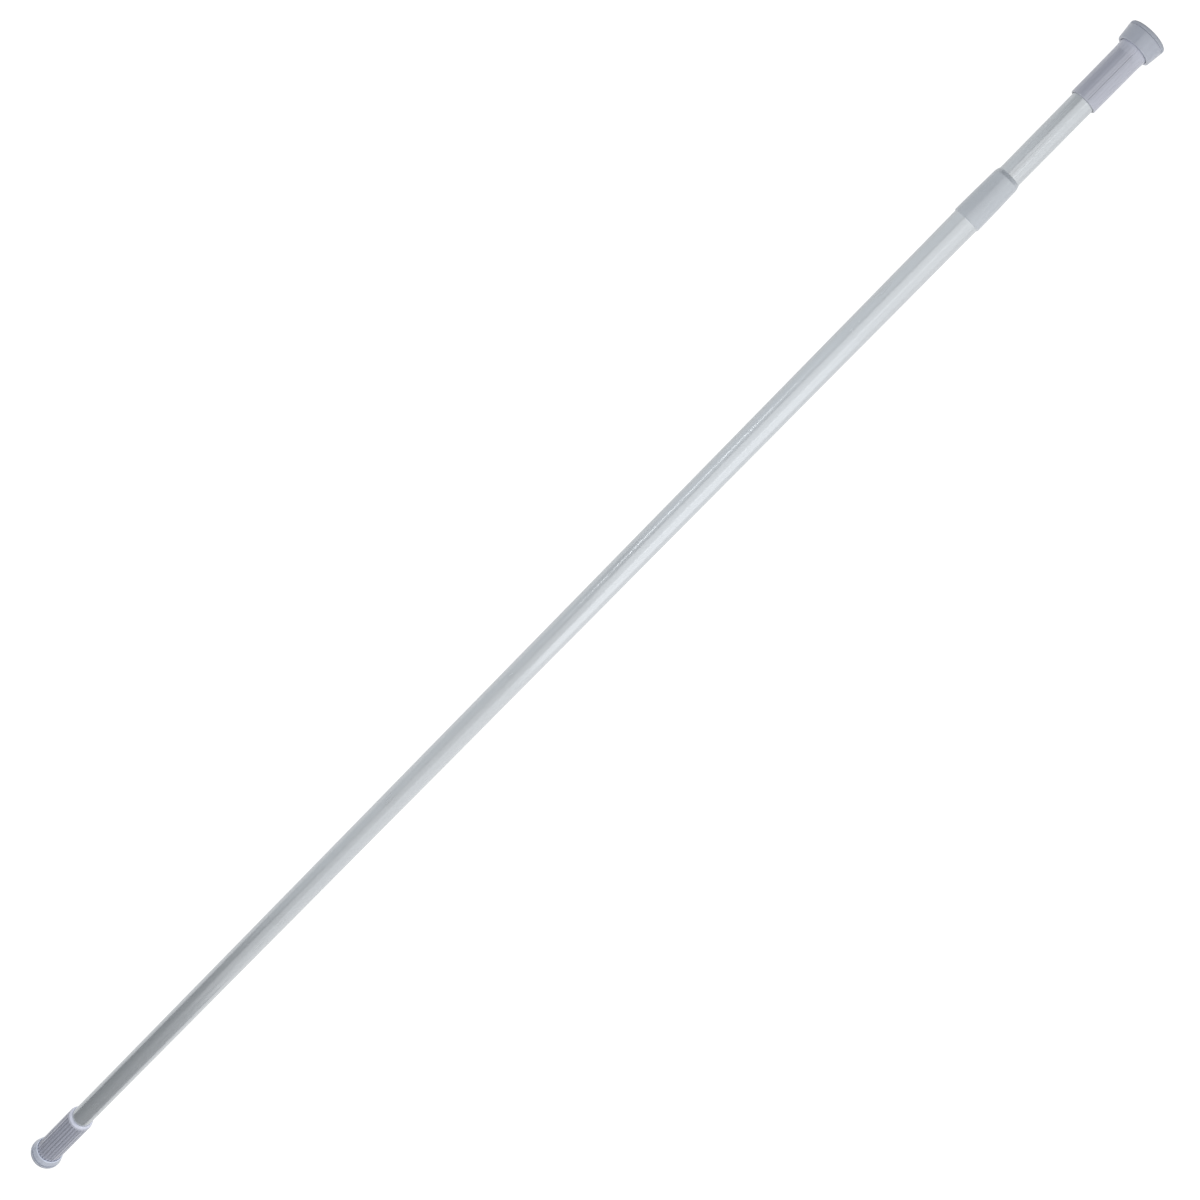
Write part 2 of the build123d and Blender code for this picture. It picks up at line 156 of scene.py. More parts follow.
# %% Add rings along straight stretches
def with_rings(outline, longest, closed=True):
    """The outline with stretches over longest cut into equal parts, and a ring near each end."""
    shortest, near_end = 0.8 * MM, 0.15 * MM
    following = np.roll(outline, -1, axis=0) if closed else outline[1:]
    starts = outline if closed else outline[:-1]
    points = []
    for start, end in zip(starts, following):
        length = np.linalg.norm(end - start)
        share = [0.0]
        if length > shortest:
            near = near_end / length
            parts = max(1, math.ceil(length / longest))
            share += [near, *np.linspace(0, 1, parts + 1)[1:-1], 1 - near]
        points.append(start + np.array(share)[:, None] * (end - start))
    if not closed:
        points.append(outline[-1:])
    return np.concatenate(points)


# %% [markdown]
# The mesh itself is a grid: rings of the outline one way, angles about the axis the other way.
# All its vertices come from two array products, and its faces from index arithmetic. The sign of
# the outline's area says which way round it was drawn, and so which way its faces have to run to
# look outwards. An outline that starts and ends on the axis closes with one pole vertex at each
# end.


# %% Turn an outline into a mesh
def add_mesh(name, vertices, faces):
    """Add a smooth-shaded object made of these vertices and faces to the scene."""
    mesh = bpy.data.meshes.new(name)
    mesh.from_pydata(vertices.tolist(), [], faces)
    mesh.validate()
    mesh.shade_smooth()
    piece = bpy.data.objects.new(name, mesh)
    bpy.context.scene.collection.objects.link(piece)
    return piece


def lathe(name, outline, angles, cut=None):
    """Mesh of a surface of revolution: (x, r cos a, r sin a) over outline points and angles a.

    angles is a count of even steps or a list of turns, and cut(x, r, a) is how much the radius is
    reduced at each point of the grid.
    """
    on_axis, sharp_degrees = 1e-9, 32.0
    turn = np.linspace(0, 2 * math.pi, angles, endpoint=False) if np.isscalar(angles) else angles
    count = len(turn)
    x, r = outline[:, :1] + 0 * turn, outline[:, 1:] + 0 * turn
    if cut is not None:
        r = r - cut(x, r, turn + 0 * r)
    grid = np.stack((x, r * np.cos(turn), r * np.sin(turn)), axis=-1)
    ends_on_axis = outline[0, 1] < on_axis and outline[-1, 1] < on_axis
    rings = grid[1:-1] if ends_on_axis else grid
    rows = len(rings)
    index = np.arange(rows * count).reshape(rows, count)
    after = np.roll(index, -1, axis=1)
    if ends_on_axis:
        quads = np.stack((index[:-1], index[1:], after[1:], after[:-1]), axis=-1)
    else:
        below, below_after = np.roll(index, -1, axis=0), np.roll(after, -1, axis=0)
        quads = np.stack((index, below, below_after, after), axis=-1)
    faces = [quads.reshape(-1, 4)]
    vertices = rings.reshape(-1, 3)
    if ends_on_axis:
        first, last = len(vertices), len(vertices) + 1
        poles = np.array([[outline[0, 0], 0, 0], [outline[-1, 0], 0, 0]])
        vertices = np.concatenate((vertices, poles))
        start_fan = np.stack((np.full(count, first), index[0], after[0]), axis=-1)
        end_fan = np.stack((index[-1], np.full(count, last), after[-1]), axis=-1)
        faces += [start_fan, end_fan]
    along, radii = outline.T
    area = np.sum(along * np.roll(radii, -1) - np.roll(along, -1) * radii)
    loops = []
    for block in faces:
        loops += (block[:, ::-1] if area < 0 else block).tolist()
    piece = add_mesh(name, vertices, loops)
    piece.data.set_sharp_from_angle(angle=math.radians(sharp_degrees))
    print(f"{name}: {len(piece.data.vertices)} vertices, {len(piece.data.polygons)} faces")
    return piece


# %% [markdown]
# ## Finishes
# A procedural finish is a sum of patterns, and sums read best as formulas. Blender stores them
# as chains of Math nodes, so a small class wraps a socket and lets Python's own operators add
# the nodes. With it, `0.3 + 0.1 * grain` is both the code and the graph. Everything that isn't
# arithmetic comes from one method that takes the node's type, its settings and its inputs.


# %% A socket that does arithmetic
class Wire:
    """A number flowing through a material: operators add Math nodes."""

    def __init__(self, finish, socket):
        self.finish, self.socket = finish, socket

    def maths(self, operation, *values):
        return self.finish.node("ShaderNodeMath", {"operation": operation}, *values)

    def __add__(self, other):
        return self.maths("ADD", self, other)

    def __radd__(self, other):
        return self.maths("ADD", other, self)

    def __sub__(self, other):
        return self.maths("SUBTRACT", self, other)

    def __rsub__(self, other):
        return self.maths("SUBTRACT", other, self)

    def __mul__(self, other):
        return self.maths("MULTIPLY", self, other)

    def __rmul__(self, other):
        return self.maths("MULTIPLY", other, self)

    def __pow__(self, other):
        return self.maths("POWER", self, other)

    def clamp(self):
        return self.finish.node("ShaderNodeClamp", {}, self, 0.0, 1.0)

    def between(self, low, high):
        """0 below low, 1 above high, and a smooth step in between."""
        settings = {"interpolation_type": "SMOOTHSTEP"}
        return self.finish.node("ShaderNodeMapRange", settings, self, low, high, 0.0, 1.0)


# %% A finish and its nodes
def scaled(colour, factor):
    """The same colour, lighter or darker."""
    return tuple(factor * c for c in colour)


class Finish:
    """One material: its nodes come from node(), and its constant values are set on the shader."""

    def __init__(self, name, **constants):
        self.material = bpy.data.materials.new(name)
        self.material.use_nodes = True
        self.tree = self.material.node_tree
        self.shader = self.tree.nodes["Principled BSDF"]
        for socket, value in constants.items():
            self.shader.inputs[socket.replace("_", " ")].default_value = value

    def node(self, kind, settings, *values, out=0, **named):
        """Add one node: settings first, then its inputs by place or by name."""
        node = self.tree.nodes.new(kind)
        for key, value in settings.items():
            setattr(node, key, value)
        sockets = [(node.inputs[i], value) for i, value in enumerate(values)]
        sockets += [(node.inputs[key.replace("_", " ")], value) for key, value in named.items()]
        for socket, value in sockets:
            if isinstance(value, Wire):
                self.tree.links.new(value.socket, socket)
            else:
                socket.default_value = value
        return Wire(self, node.outputs[out])

    def feed(self, socket, wire):
        self.tree.links.new(wire.socket, self.shader.inputs[socket])

    def place(self):
        """Object coordinates, which are metres in the rod's own frame."""
        return self.node("ShaderNodeTexCoord", {}, out="Object")

    def axes(self):
        """The three object coordinates, each as a number."""
        split = self.node("ShaderNodeSeparateXYZ", {}, self.place())
        outputs = split.socket.node.outputs
        return [Wire(self, outputs[axis]) for axis in "XYZ"]

    def noise(self, scale, detail=2.0, stretch=(1.0, 1.0, 1.0)):
        """Noise with features of about 1 / scale metres, longer where stretch is below 1."""
        mapped = self.node("ShaderNodeMapping", {}, Vector=self.place(), Scale=stretch)
        return self.node("ShaderNodeTexNoise", {}, Vector=mapped, Scale=scale, Detail=detail)

    def mix(self, share, low, high):
        """Colour mix: low where share is 0, high where it is 1."""
        node = self.tree.nodes.new("ShaderNodeMix")
        node.data_type = "RGBA"
        for socket, value in (("A_Color", low), ("B_Color", high)):
            found = next(s for s in node.inputs if s.identifier == socket)
            if isinstance(value, Wire):
                self.tree.links.new(value.socket, found)
            else:
                found.default_value = (*value, 1.0)
        self.tree.links.new(share.socket, node.inputs["Factor"])
        return Wire(self, next(s for s in node.outputs if s.identifier == "Result_Color"))

    def bump(self, height, distance, strength):
        """Feed the shader's normal with a height in metres times distance."""
        inputs = {"Strength": strength, "Distance": distance, "Height": height}
        self.feed("Normal", self.node("ShaderNodeBump", {}, **inputs))


# %% [markdown]
# ## White enamel
# The tubes are cheap steel with a baked white enamel. Seen close, such a coat has three things:
# a fine orange-peel swell from the spray, faint tone changes where the film is thicker, and on
# the tube that slides, hair-fine rub marks along the axis. A clear coat over a slightly rough
# base gives the sharp highlight on a soft white that a single rough layer can't. The base is a
# third metallic, which gives the white the silvery, pearl-like shading of a thin film over
# bright steel.


# %% Enamel for the tubes
def enamel(name, rubbed):
    """Glossy white enamel. rubbed is how strongly axial rub marks show, from 0 to 1."""
    film_tints = (0.66, 0.70, 0.735), (0.695, 0.73, 0.76)
    grime_tint, mark_tint = (0.56, 0.59, 0.60), (0.55, 0.56, 0.57)
    peel_height = 0.012 * MM
    finish = Finish(
        name, Metallic=0.35, IOR=1.46, Coat_Weight=0.9, Coat_Roughness=0.08, Coat_IOR=1.5
    )
    film = finish.noise(9.0, detail=3.0, stretch=(0.25, 1.0, 1.0)).between(0.35, 0.65)
    grime = finish.noise(60.0, detail=4.0, stretch=(0.5, 1.0, 1.0)).between(0.55, 0.8)
    marks = finish.noise(900.0, detail=1.0, stretch=(0.012, 1.0, 1.0)).between(0.62, 0.72)
    white = finish.mix(film, *film_tints)
    white = finish.mix(0.22 * grime, white, grime_tint)
    white = finish.mix(rubbed * 0.35 * marks, white, mark_tint)
    finish.feed("Base Color", white)
    finish.feed("Roughness", (0.24 + 0.06 * grime + rubbed * 0.12 * marks).clamp())
    peel = finish.noise(650.0, detail=1.0)
    finish.bump(peel - rubbed * 0.2 * marks, peel_height, strength=0.5)
    return finish.material


tube_enamel = enamel("tube_enamel", rubbed=0.15)
sliding_enamel = enamel("sliding_enamel", rubbed=1.0)

# %% [markdown]
# ## Moulded plastic
# The caps, feet and sleeve are injection moulded. The mould's surface was spark eroded, which
# leaves a fine even grain, and the melt cools unevenly, which leaves broad patches of slightly
# different gloss. The flutes are painted darker, partly as dust and partly as painted shade in
# their hollows, and handling polishes their crests. The distance from the rod's axis tells crest
# from flute, so it is worked out in the material from the object coordinates. A band near some
# edges is painted lighter as a painted highlight. A clear coat stands for the thin glassy skin
# that the melt forms against the mould.


# %% Plastic for the moulded pieces
def moulded(name, colour, gloss, flute=None, highlight_band=None, grain=1.0):
    """Moulded plastic with dust, polish, painted shade in the flutes and a painted highlight band.

    flute is (valley radius, crest radius, share): painted shade and dust give way to polish from
    the one radius to the other, and share is the shaded tone's part of the polished one. The
    argument after flute is (x, x, share): a painted highlight lifts the tone by that share from
    the first x to the second. grain is the height of the mould's grain, where 1 is usual.
    """
    grain_height = 0.02 * MM
    finish = Finish(name, IOR=1.6, Coat_Weight=1.0, Coat_IOR=1.6, Coat_Roughness=0.1)
    flow = finish.noise(45.0, detail=3.0, stretch=(0.4, 1.0, 1.0)).between(0.3, 0.7)
    speck = finish.noise(1400.0, detail=1.0)
    tone = finish.mix(0.5 * flow, colour, scaled(colour, 0.93))
    roughness = gloss + 0.08 * flow
    along, across, up = finish.axes()
    # Painted shade, with some dust: the colour darkens from the crests down into the flutes and
    # the parting line.
    if flute is not None:
        valley_radius, crest_radius, dust_and_shade = flute
        from_axis = (across * across + up * up) ** 0.5
        crest = from_axis.between(valley_radius, crest_radius)
        tone = finish.mix(crest, scaled(colour, dust_and_shade), tone)
        roughness = roughness + 0.16 * (1.0 - crest)
    # Painted highlight: the tone is lifted in a band along x, where an edge catches the light.
    if highlight_band is not None:
        start, end, lift = highlight_band
        highlight_mask = along.between(start, end) if start < end else 1.0 - along.between(end, start)
        tone = finish.mix(highlight_mask, tone, scaled(colour, 1 + lift))
    finish.feed("Base Color", tone)
    finish.feed("Roughness", (roughness + 0.05 * speck).clamp())
    finish.bump(speck, grain * grain_height, strength=0.45)
    return finish.material


# %% [markdown]
# ## Rubber, nylon and steel
# The wall pads are a soft dull rubber with a chalky bloom. Inside, the guides are natural nylon,
# the spring is oiled steel wire and the small fasteners are zinc plated. These hidden pieces
# keep their shapes from the frame, and get finishes of their own for whoever opens the rod.


# %% Rubber
def rubber(name, colour):
    """Dull rubber with a pale bloom in broad patches and a fine even tooth."""
    finish = Finish(name, IOR=1.4)
    bloom = finish.noise(80.0, detail=4.0).between(0.45, 0.75)
    tooth = finish.noise(2200.0, detail=0.0)
    pale = tuple(min(1.0, 1.12 * c + 0.02) for c in colour)
    finish.feed("Base Color", finish.mix(0.5 * bloom, colour, pale))
    finish.feed("Roughness", (0.66 + 0.12 * bloom).clamp())
    finish.bump(tooth, 0.03 * MM, strength=0.5)
    return finish.material


# %% Nylon
def nylon(name):
    """Natural nylon: warm off-white, waxy, with faint flow lines along the rod."""
    finish = Finish(name, IOR=1.53, Subsurface_Weight=0.08)
    flow = finish.noise(220.0, detail=2.0, stretch=(0.2, 1.0, 1.0)).between(0.4, 0.7)
    finish.feed("Base Color", finish.mix(0.6 * flow, (0.80, 0.79, 0.73), (0.72, 0.71, 0.65)))
    finish.feed("Roughness", (0.34 + 0.1 * flow).clamp())
    finish.bump(flow, 0.02 * MM, strength=0.4)
    return finish.material


# %% Steel
def steel(name, bright, dull, roughness, streak):
    """Bare or plated steel: tone and gloss vary in streaks. streak is the noise's stretch."""
    finish = Finish(name, Metallic=1.0)
    wear = finish.noise(500.0, detail=3.0, stretch=streak).between(0.35, 0.7)
    finish.feed("Base Color", finish.mix(wear, bright, dull))
    finish.feed("Roughness", (roughness + 0.14 * wear).clamp())
    finish.bump(wear, 0.008 * MM, strength=0.5)
    return finish.material


outer_pad_rubber = rubber("outer_pad_rubber", (0.60, 0.63, 0.71))
inner_pad_rubber = rubber("inner_pad_rubber", (0.47, 0.50, 0.57))
natural_nylon = nylon("natural_nylon")
spring_steel = steel(
    "spring_steel",
    bright=(0.42, 0.43, 0.45),
    dull=(0.20, 0.20, 0.21),
    roughness=0.28,
    streak=(1.0, 0.3, 0.3),
)
zinc_plate = steel(
    "zinc_plate",
    bright=(0.74, 0.76, 0.78),
    dull=(0.58, 0.60, 0.63),
    roughness=0.30,
    streak=(1.0, 1.0, 1.0),
)


# %% Dress a new piece
def dress(piece, material, body, slot, *nodes):
    """Give a piece its material and body, and hide the frame nodes it stands for. slot is not
    used.
    """
    piece.data.materials.append(material)
    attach(piece, body)
    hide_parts(*nodes)


# %% [markdown]
# ## The two tubes
# A steel tube is rolled from strip and welded along one line. Under enamel the weld is still a
# low, soft ridge, so the radius gets a very shallow bump at one angle: a bell curve in the
# angle, less than a twentieth of a millimetre high. The cut ends are deburred, so their edges
# carry a small rounding.

# %% Tubes
weld_height = 0.04 * MM
weld_width = 0.9 * MM
tube_wall = {"outer_tube": 0.7 * MM, "inner_tube": 0.6 * MM}
tube_edge = 0.2 * MM
tube_steps = 192
tube_rings = 60 * MM


def welded_tube(name, node, weld_turn, material, body):
    """Tube from the node's span: r = radius, plus the weld's bell exp(-(arc length / width)^2)."""
    start, end, radius = span(node)
    wall = tube_wall[node]
    corners = [
        (start, radius, tube_edge),
        (end, radius, tube_edge),
        (end, radius - wall, tube_edge),
        (start, radius - wall, tube_edge),
    ]

    def weld(x, r, a):
        apart = (a - weld_turn + math.pi) % (2 * math.pi) - math.pi
        ridge = np.exp(-((apart * radius / weld_width) ** 2))
        return np.where(r > radius - 0.5 * wall, -weld_height * ridge, 0.0)

    piece = lathe(name, with_rings(rounded(corners), tube_rings), tube_steps, cut=weld)
    dress(piece, material, body, "white_enamel", node)


outer_weld_turn = -0.5 * math.pi
inner_weld_turn = outer_weld_turn + 0.4
welded_tube("outer_tube_shell", "outer_tube", outer_weld_turn, tube_enamel, "outer_tube")
welded_tube("inner_tube_shell", "inner_tube", inner_weld_turn, sliding_enamel, "inner_tube")

# %% [markdown]
# ## The joint sleeve
# The sleeve hides the step between the tubes. It grips the outer tube, narrows gently over the
# step and ends in a chamfer that just clears the inner tube. Its outline is a closed loop that
# runs along the outside and back along the bore, so the mesh is one closed skin with a real
# wall.

# %% Sleeve
sleeve_plastic = moulded("sleeve_plastic", (0.58, 0.625, 0.68), gloss=0.2, grain=0.5)
press_fit = 0.02 * MM
sleeve_chamfer = 2.7 * MM
sleeve_taper = 0.3 * MM
sleeve_nose_radius = inner_tube_radius + 1.35 * MM
sleeve_bore = inner_tube_radius + 0.1 * MM
sleeve_nose_rim = 0.3 * MM
sleeve_edge = 0.35 * MM
sleeve_shoulder_rounding = 6 * MM
sleeve_grip_radius = outer_tube_radius + press_fit
sleeve_corners = [
    (sleeve_start, sleeve_grip_radius, 0.1 * MM),
    (sleeve_start, sleeve_radius, sleeve_edge),
    (outer_tube_end, sleeve_radius - sleeve_taper, sleeve_shoulder_rounding),
    (sleeve_end - sleeve_chamfer, sleeve_nose_radius, 0.8 * MM),
    (sleeve_end, sleeve_bore + sleeve_nose_rim, 0.15 * MM),
    (sleeve_end, sleeve_bore, 0.1 * MM),
    (outer_tube_end, sleeve_bore),
    (outer_tube_end, sleeve_grip_radius),
]
sleeve_rings, sleeve_steps = 8 * MM, 160
sleeve_outline = with_rings(rounded(sleeve_corners), sleeve_rings)
sleeve = lathe("joint_sleeve_shell", sleeve_outline, sleeve_steps)
dress(sleeve, sleeve_plastic, "outer_tube", "sleeve_plastic", "joint_sleeve")


# %% [markdown]
# ## Fluted grips
# A flute is a round-bottomed groove that runs along the cap. Around the axis its depth repeats
# every fraction of a turn, so it is a function of the angle alone: an arc of a circle inside the
# groove and zero on the crest between two grooves. Along the axis the depth fades out at both
# ends over a short smooth ramp, as the tip of a milling cutter leaves it. The parting line of
# the mould is one more, very narrow groove on each side.


# %% Depth of flutes and of the parting line
flute_count = 24
steps_per_flute = 18
flute_ramp = 1.0 * MM


def flute_depth(radius, depth, groove_radius, start, end, line_turn=None):
    """A cut function: groove depth over the angle times a smooth fade along x.

    Across a flute the depth is depth - groove_radius + sqrt(groove_radius^2 - s^2), where s is the
    distance along the crest from the flute's middle, and never below zero. Only the skin of the
    piece is cut, so the bore stays round.
    """
    pitch = 2 * math.pi / flute_count
    line_width, line_depth, line_fade = 0.32 * MM, 0.22 * MM, 0.2
    skin = 0.8 * MM

    def cut(x, r, a):
        s = ((a + 0.5 * pitch) % pitch - 0.5 * pitch) * radius
        inside = np.sqrt(np.maximum(groove_radius**2 - s**2, 0.0))
        groove = np.maximum(depth - groove_radius + inside, 0.0)
        fade_in = np.clip((x - start) / flute_ramp, 0, 1)
        fade_out = np.clip((end - x) / flute_ramp, 0, 1)
        fade = (fade_in * fade_out) ** 0.5
        total = groove * fade
        if line_turn is not None:
            apart = (a - line_turn + 0.5 * math.pi) % math.pi - 0.5 * math.pi
            line = np.exp(-((apart * radius / line_width) ** 2))
            total = np.maximum(total, line_depth * line * (fade > line_fade))
        outside = r > radius - skin
        return np.where(outside, total, 0.0)

    return cut


def flute_angles(per_flute, line_turn=None):
    """Even angles, with extra ones close to both parting lines to catch the narrow groove."""
    line_reach = 0.032
    even = np.linspace(0, 2 * math.pi, flute_count * per_flute, endpoint=False)
    if line_turn is None:
        return even
    near = np.linspace(-line_reach, line_reach, 9)
    extra = np.concatenate((line_turn + near, line_turn + math.pi + near))
    return np.unique(np.round(np.concatenate((even, extra)) % (2 * math.pi), 5))


# %% [markdown]
# The cap on the outer tube is the spring-loaded one. Its smooth mouth ring is wider than the
# tube, so the tube can slide in under it when the rod is squeezed between walls. The outline
# runs from the collar inside the foot, along the fluted crest, over the mouth ring, and back
# along the bore.

# %% Outer grip
grip_tint = (0.54, 0.56, 0.66)
grip_gloss = 0.26
grip_rings = 1.2 * MM
screw_hole = 3 * MM
outer_grip_radius = outer_tube_radius + 2.85 * MM
outer_grip_flutes = (0.55 * MM, 1.1 * MM)
outer_lip = 3.5 * MM
outer_lip_drop = 0.9 * MM
outer_mouth_rim = 0.35 * MM
outer_land = outer_tube_radius + 0.1 * MM
outer_land_start = outer_cap_mouth - 10 * MM
outer_relief = outer_land + 0.4 * MM
outer_floor = outer_cap_start + 3 * MM
outer_grip_plastic = moulded(
    "outer_grip_plastic",
    # Painted light: the outer grip is a lighter copy of the grip colour, making up for the dimmer
    # light at the outer end.
    scaled(grip_tint, 1.1),
    gloss=grip_gloss,
    # painted shade and dust in the flutes: 0.7 of the crest tone
    flute=(outer_grip_radius - outer_grip_flutes[0], outer_grip_radius - 0.1 * MM, 0.7),
    # painted highlight on the mouth ring
    highlight_band=(outer_cap_mouth - 0.75 * outer_lip, outer_cap_mouth - 0.5 * outer_lip, 0.4),
)
outer_grip_corners = [
    (outer_cap_start, screw_hole, 0.2 * MM),
    (outer_cap_start, outer_grip_radius, 0.3 * MM),
    (outer_cap_mouth - outer_lip, outer_grip_radius, 0.7 * MM),
    (outer_cap_mouth - 0.3 * outer_lip, outer_grip_radius - outer_lip_drop, 1.2 * MM),
    (outer_cap_mouth, outer_land + outer_mouth_rim, 0.3 * MM),
    (outer_cap_mouth, outer_land, 0.15 * MM),
    (outer_land_start, outer_land, 0.2 * MM),
    (outer_land_start, outer_relief, 0.2 * MM),
    (outer_floor, outer_relief, 0.4 * MM),
    (outer_floor, screw_hole, 0.2 * MM),
]
outer_grip = lathe(
    "outer_grip",
    with_rings(rounded(outer_grip_corners), grip_rings),
    flute_angles(steps_per_flute),
    cut=flute_depth(
        outer_grip_radius,
        *outer_grip_flutes,
        start=outer_cup_lip - 3 * MM,
        end=outer_cap_mouth - outer_lip - 0.2 * MM,
    ),
)
dress(outer_grip, outer_grip_plastic, "outer_cap", "grip_plastic", "outer_grip_cap")

# %% [markdown]
# The cap on the inner tube is the plain one: slimmer, with shallower flutes, a visible parting
# line and a small flare where it enters its foot. Its mouth is relieved a little, and that
# narrow gap is what draws the dark line round the tube.

# %% Inner grip
inner_grip_radius = inner_tube_radius + 1.65 * MM
inner_grip_end = inner_grip_radius + 0.4 * MM
inner_grip_flutes = (0.09 * MM, 1.3 * MM)
inner_flare_length = 6 * MM
inner_flare_rounding = 8 * MM
inner_floor = inner_cap_end - 2.8 * MM
inner_bore = inner_tube_radius + press_fit
inner_mouth_bore = inner_tube_radius + 0.35 * MM
inner_mouth_end = inner_cap_mouth + 1.6 * MM
parting_turn = 0.5 * math.pi + math.radians(8.0)
inner_grip_plastic = moulded(
    "inner_grip_plastic",
    grip_tint,
    gloss=grip_gloss,
    # painted shade and dust in the flutes and the parting line: 0.72 of the crest tone
    flute=(inner_grip_radius - 0.2 * MM, inner_grip_radius - 0.03 * MM, 0.72),
)
inner_grip_corners = [
    (inner_cap_mouth, inner_mouth_bore, 0.1 * MM),
    (inner_cap_mouth, inner_grip_radius, 0.35 * MM),
    (inner_cup_lip - inner_flare_length, inner_grip_radius, inner_flare_rounding),
    (inner_cup_lip, inner_grip_end, 1.0 * MM),
    (inner_cap_end, inner_grip_end, 0.3 * MM),
    (inner_cap_end, screw_hole, 0.2 * MM),
    (inner_floor, screw_hole, 0.2 * MM),
    (inner_floor, inner_bore, 0.2 * MM),
    (inner_mouth_end, inner_bore, 0.1 * MM),
    (inner_mouth_end, inner_mouth_bore, 0.1 * MM),
]
inner_grip = lathe(
    "inner_grip",
    with_rings(rounded(inner_grip_corners), grip_rings),
    flute_angles(steps_per_flute, line_turn=parting_turn),
    cut=flute_depth(
        inner_grip_radius,
        *inner_grip_flutes,
        start=inner_cap_mouth + 1.0 * MM,
        end=inner_cap_end - 2 * MM,
        line_turn=parting_turn,
    ),
)
dress(inner_grip, inner_grip_plastic, "inner_tube", "grip_plastic", "inner_grip_cap")


# %% [markdown]
# ## Feet and pads
# Each foot is a shallow cup that flares towards the wall. Its lip stands a little off the grip,
# which leaves the dark seam. The pad is a separate soft disc with two shallow grooves in its
# face for grip on tile. Cup and pad both have rounded rims, so a fine line shows where they
# meet.


# %% Feet
foot_rings, foot_steps = 2 * MM, 192


def foot(name, node, lip, rim, mouth_radius, rim_rounding, material, body):
    """Flared cup from its lip (x, radius) to its rim (x, radius), bored to mouth_radius."""
    floor_thickness, floor_hole = 2.4 * MM, 5 * MM
    inward = 1 if lip[0] > rim[0] else -1
    floor_x = rim[0] + inward * floor_thickness
    corners = [
        (rim[0], floor_hole, 0.2 * MM),
        (*rim, rim_rounding),
        (*lip, 0.45 * MM),
        (lip[0], mouth_radius, 0.35 * MM),
        (floor_x, mouth_radius, 0.3 * MM),
        (floor_x, floor_hole, 0.2 * MM),
    ]
    piece = lathe(name, with_rings(rounded(corners, steps=7), foot_rings), foot_steps)
    dress(piece, material, body, "foot_plastic", node)


foot_tint = (0.46, 0.495, 0.585)
foot_gloss = 0.36
outer_foot_plastic = moulded(
    "outer_foot_plastic",
    # Painted light: the outer foot is a lighter copy of the foot colour, making up for the dimmer
    # light at the outer end.
    scaled(foot_tint, 1.3),
    gloss=foot_gloss,
    # painted highlight on the foot's lip
    highlight_band=(outer_cup_lip - 1.3 * MM, outer_cup_lip - 0.3 * MM, 0.4),
)
inner_foot_plastic = moulded("inner_foot_plastic", foot_tint, gloss=foot_gloss)
outer_cup_flare, inner_cup_flare = 2.25 * MM, 1.4 * MM
outer_lip_gap, inner_lip_gap = 0.15 * MM, 0.45 * MM
foot(
    "outer_foot",
    "outer_foot_cup",
    lip=(outer_cup_lip, outer_foot_radius - outer_cup_flare),
    rim=(outer_cup_start, outer_foot_radius),
    mouth_radius=outer_grip_radius + outer_lip_gap,
    rim_rounding=1.6 * MM,
    material=outer_foot_plastic,
    body="outer_cap",
)
foot(
    "inner_foot",
    "inner_foot_cup",
    lip=(inner_cup_lip, inner_foot_radius - inner_cup_flare),
    rim=(inner_cup_end, inner_foot_radius),
    mouth_radius=inner_grip_end + inner_lip_gap,
    rim_rounding=0.5 * MM,
    material=inner_foot_plastic,
    body="inner_tube",
)


# %% Wall pads
pad_rings, pad_steps = 2.5 * MM, 160


def pad(name, node, face_x, inward, radius, material, body):
    """Disc with two concentric grooves in its face, rounded at the rim."""
    thickness = 2.5 * MM
    groove_depth, groove_width, groove_pitch = 0.5 * MM, 1.2 * MM, 3.4 * MM
    corners = [(face_x, 0.0)]
    for number in (2, 1):
        outside = radius - number * groove_pitch
        corners += [
            (face_x, outside - groove_width, 0.15 * MM),
            (face_x + inward * groove_depth, outside - groove_width, 0.15 * MM),
            (face_x + inward * groove_depth, outside, 0.15 * MM),
            (face_x, outside, 0.15 * MM),
        ]
    corners += [
        (face_x, radius, 0.9 * MM),
        (face_x + inward * thickness, radius, 0.5 * MM),
        (face_x + inward * thickness, 0.0),
    ]
    outline = with_rings(rounded(corners, closed=False), pad_rings, closed=False)
    dress(lathe(name, outline, pad_steps), material, body, "pad_rubber", node)


pad(
    "outer_pad",
    "outer_wall_pad",
    outer_pad_face,
    inward=1,
    radius=outer_pad_radius,
    material=outer_pad_rubber,
    body="outer_cap",
)
pad(
    "inner_pad",
    "inner_wall_pad",
    inner_pad_face,
    inward=-1,
    radius=inner_pad_radius,
    material=inner_pad_rubber,
    body="inner_tube",
)

# %% [markdown]
# ## The works inside
# The spring, its cage, the plunger, the twist lock and the fasteners are exact in the frame
# already and are hidden when the rod is whole. They keep their meshes, and only their material
# slots change.

# %% Finishes of the hidden pieces
hidden_finishes = {
    "plunger": natural_nylon,
    "spring_cage": natural_nylon,
    "cage_bush": natural_nylon,
    "rear_guide_ring": natural_nylon,
    "lock_cam": natural_nylon,
    "lock_plug": natural_nylon,
    "inner_tube_plug": natural_nylon,
    "spring_washer": zinc_plate,
    "plunger_screw": zinc_plate,
    "lock_screw": zinc_plate,
    "inner_cap_screw": zinc_plate,
    "lock_washer": zinc_plate,
    "cage_rivets": zinc_plate,
    "plug_rivets": zinc_plate,
}
for node, material in hidden_finishes.items():
    slots = frame["nodes"][node].material_slots
    for place in range(len(slots)):
        slots[place].material = material
print("finished", len(hidden_finishes), "hidden pieces")
